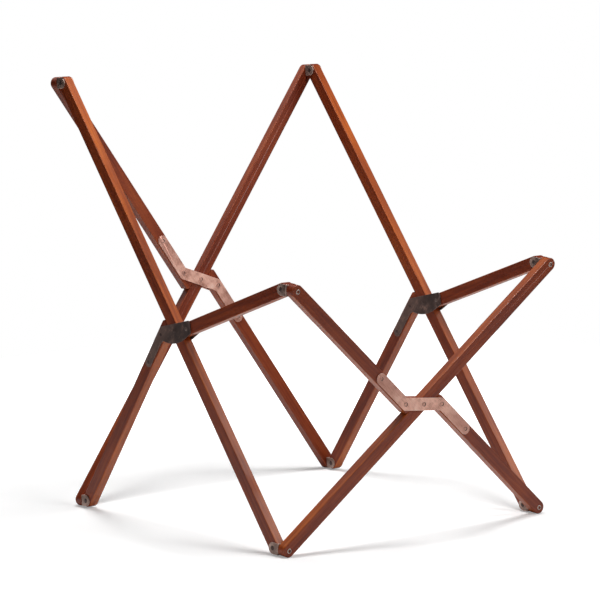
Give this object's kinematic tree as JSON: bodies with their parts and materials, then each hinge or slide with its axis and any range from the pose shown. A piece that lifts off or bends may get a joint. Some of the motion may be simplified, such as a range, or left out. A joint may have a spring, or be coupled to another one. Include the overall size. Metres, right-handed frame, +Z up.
{
  "type": "folding sling chair frame",
  "caption": "Folding wooden frame of a sling chair: scissor crosses in a ring, with riveted plates at the crossings and swivelling corner brackets; stands open and folds to a bundle.",
  "frame": {"origin": "middle of the footprint on the floor, centre of the bottom of the bounding box", "axes": "+Z up, +Y to the back of the chair, +X to the right as seen from the front"},
  "size_m": [0.765, 0.8602, 0.98],
  "materials": {
    "stained_mahogany": "satin lacquer over a red-brown stain, fine lengthwise grain",
    "aged_copper": "matte, brushed and dulled copper-coloured sheet",
    "dark_bronze": "dark brown patina, worn lighter along the edges",
    "worn_steel": "dull grey-brown plate, rubbed bright on the bends",
    "pin_steel": "bright rubbed rivet heads",
    "dark_rivet": "darkened rivets"
  },
  "bodies": {
    "back_left_foot_bracket": {"bracket_back_left_foot": "worn_steel", "side_pin_back_left_foot": "dark_rivet"},
    "back_bar": {"back_bar": "stained_mahogany", "web_pin_back_left_foot": "pin_steel", "web_pin_back_right_top": "pin_steel"},
    "back_split_diagonal": {"back_upper_stick": "stained_mahogany", "back_lower_stick": "stained_mahogany", "back_cross_plate_outer": "aged_copper", "back_cross_plate_inner": "aged_copper", "back_plate_rivets": "dark_rivet", "back_pivot_pin": "dark_rivet", "web_pin_back_left_top": "pin_steel", "web_pin_back_right_foot": "pin_steel"},
    "back_right_foot_bracket": {"bracket_back_right_foot": "worn_steel", "side_pin_back_right_foot": "dark_rivet"},
    "left_rear_leg": {"left_rear_leg": "stained_mahogany", "left_elbow_plate_outer": "dark_bronze", "left_elbow_plate_inner": "dark_bronze", "left_elbow_rivets": "dark_rivet", "left_pivot_pin": "dark_rivet", "left_arm_pin": "pin_steel"},
    "left_side_bar": {"left_side_bar": "stained_mahogany"},
    "left_arm": {"left_arm": "stained_mahogany"},
    "back_left_top_bracket": {"bracket_back_left_top": "worn_steel", "side_pin_back_left_top": "dark_rivet"},
    "front_left_top_bracket": {"bracket_front_left_top": "worn_steel", "side_pin_front_left_top": "dark_rivet"},
    "front_left_foot_bracket": {"bracket_front_left_foot": "worn_steel", "side_pin_front_left_foot": "dark_rivet"},
    "right_rear_leg": {"right_rear_leg": "stained_mahogany", "right_elbow_plate_outer": "dark_bronze", "right_elbow_plate_inner": "dark_bronze", "right_elbow_rivets": "dark_rivet", "right_pivot_pin": "dark_rivet", "right_arm_pin": "pin_steel"},
    "right_side_bar": {"right_side_bar": "stained_mahogany"},
    "right_arm": {"right_arm": "stained_mahogany"},
    "back_right_top_bracket": {"bracket_back_right_top": "worn_steel", "side_pin_back_right_top": "dark_rivet"},
    "front_right_top_bracket": {"bracket_front_right_top": "worn_steel", "side_pin_front_right_top": "dark_rivet"},
    "front_right_foot_bracket": {"bracket_front_right_foot": "worn_steel", "side_pin_front_right_foot": "dark_rivet"},
    "front_split_diagonal": {"front_upper_stick": "stained_mahogany", "front_lower_stick": "stained_mahogany", "front_cross_plate_outer": "aged_copper", "front_cross_plate_inner": "aged_copper", "front_plate_rivets": "dark_rivet", "front_pivot_pin": "dark_rivet", "web_pin_front_left_top": "pin_steel", "web_pin_front_right_foot": "pin_steel"},
    "front_bar": {"front_bar": "stained_mahogany", "web_pin_front_right_top": "pin_steel", "web_pin_front_left_foot": "pin_steel"}
  },
  "joints": [
    {"name": "back_foot_left_turn", "type": "hinge", "parent": "back_left_foot_bracket", "child": "back_bar", "pos_m": [-0.3675, 0.33681, 0.01538], "axis": [0, -0.9964, 0.0849], "range_deg": [0, 34.88]},
    {"name": "back_cross", "type": "hinge", "parent": "back_bar", "child": "back_split_diagonal", "pos_m": [0, 0.37718, 0.48921], "axis": [0, 0.9964, -0.0849], "range_deg": [0, 69.67]},
    {"name": "back_foot_right_turn", "type": "hinge", "parent": "back_split_diagonal", "child": "back_right_foot_bracket", "pos_m": [0.3675, 0.33681, 0.01538], "axis": [0, -0.9964, 0.0849], "range_deg": [0, 34.88]},
    {"name": "left_leg_swing", "type": "hinge", "parent": "back_left_foot_bracket", "child": "left_rear_leg", "pos_m": [-0.3675, 0.30791, 0.01784], "axis": [-1, 0, 0], "range_deg": [0, 38.6]},
    {"name": "left_cross", "type": "hinge", "parent": "left_rear_leg", "child": "left_side_bar", "pos_m": [-0.3675, -0.02213, 0.4451], "axis": [1, 0, 0], "range_deg": [0, 68.76]},
    {"name": "left_arm_hinge", "type": "hinge", "parent": "left_rear_leg", "child": "left_arm", "pos_m": [-0.3675, -0.06579, 0.454], "axis": [-1, 0, 0], "range_deg": [0, 31.62]},
    {"name": "left_back_tip_swivel", "type": "hinge", "parent": "left_side_bar", "child": "back_left_top_bracket", "pos_m": [-0.3675, 0.38866, 0.9655], "axis": [-1, 0, 0], "range_deg": [0, 30.21]},
    {"name": "left_front_foot_swivel", "type": "hinge", "parent": "left_side_bar", "child": "front_left_foot_bracket", "pos_m": [-0.3675, -0.36044, 0.01654], "axis": [-1, 0, 0], "range_deg": [0, 36.25]},
    {"name": "left_front_tip_swivel", "type": "hinge", "parent": "left_arm", "child": "front_left_top_bracket", "pos_m": [-0.3675, -0.38875, 0.57247], "axis": [1, 0, 0], "range_deg": [0, 64.13]},
    {"name": "right_leg_swing", "type": "hinge", "parent": "back_right_foot_bracket", "child": "right_rear_leg", "pos_m": [0.3675, 0.30791, 0.01784], "axis": [-1, 0, 0], "range_deg": [0, 38.6]},
    {"name": "right_cross", "type": "hinge", "parent": "right_rear_leg", "child": "right_side_bar", "pos_m": [0.3675, -0.02213, 0.4451], "axis": [1, 0, 0], "range_deg": [0, 68.76]},
    {"name": "right_arm_hinge", "type": "hinge", "parent": "right_rear_leg", "child": "right_arm", "pos_m": [0.3675, -0.06579, 0.454], "axis": [-1, 0, 0], "range_deg": [0, 31.62]},
    {"name": "right_back_tip_swivel", "type": "hinge", "parent": "right_side_bar", "child": "back_right_top_bracket", "pos_m": [0.3675, 0.38866, 0.9655], "axis": [-1, 0, 0], "range_deg": [0, 30.21]},
    {"name": "right_front_foot_swivel", "type": "hinge", "parent": "right_side_bar", "child": "front_right_foot_bracket", "pos_m": [0.3675, -0.36044, 0.01654], "axis": [-1, 0, 0], "range_deg": [0, 36.25]},
    {"name": "right_front_tip_swivel", "type": "hinge", "parent": "right_arm", "child": "front_right_top_bracket", "pos_m": [0.3675, -0.38875, 0.57247], "axis": [1, 0, 0], "range_deg": [0, 64.13]},
    {"name": "front_tip_turn", "type": "hinge", "parent": "front_left_top_bracket", "child": "front_split_diagonal", "pos_m": [-0.3675, -0.41771, 0.57099], "axis": [0, 0.9987, 0.0509], "range_deg": [0, 49.18]},
    {"name": "front_cross", "type": "hinge", "parent": "front_split_diagonal", "child": "front_bar", "pos_m": [0, -0.40355, 0.29302], "axis": [0, -0.9987, -0.0509], "range_deg": [0, 98.31]}
  ],
  "couplings": [
    {"joint": "back_foot_left_turn", "follows": "back_cross", "ratio": 0.5},
    {"joint": "back_foot_right_turn", "follows": "back_cross", "ratio": 0.5},
    {"joint": "left_leg_swing", "follows": "back_cross", "ratio": 0.55335},
    {"joint": "left_cross", "follows": "back_cross", "ratio": 0.98621},
    {"joint": "left_arm_hinge", "follows": "back_cross", "ratio": 0.45315},
    {"joint": "left_back_tip_swivel", "follows": "back_cross", "ratio": 0.43286},
    {"joint": "left_front_foot_swivel", "follows": "back_cross", "ratio": 0.51962},
    {"joint": "left_front_tip_swivel", "follows": "back_cross", "ratio": 0.91975},
    {"joint": "right_leg_swing", "follows": "back_cross", "ratio": 0.55335},
    {"joint": "right_cross", "follows": "back_cross", "ratio": 0.98621},
    {"joint": "right_arm_hinge", "follows": "back_cross", "ratio": 0.45315},
    {"joint": "right_back_tip_swivel", "follows": "back_cross", "ratio": 0.43286},
    {"joint": "right_front_foot_swivel", "follows": "back_cross", "ratio": 0.51962},
    {"joint": "right_front_tip_swivel", "follows": "back_cross", "ratio": 0.91975},
    {"joint": "front_tip_turn", "follows": "back_cross", "ratio": 0.70518},
    {"joint": "front_cross", "follows": "back_cross", "ratio": 1.4104}
  ]
}
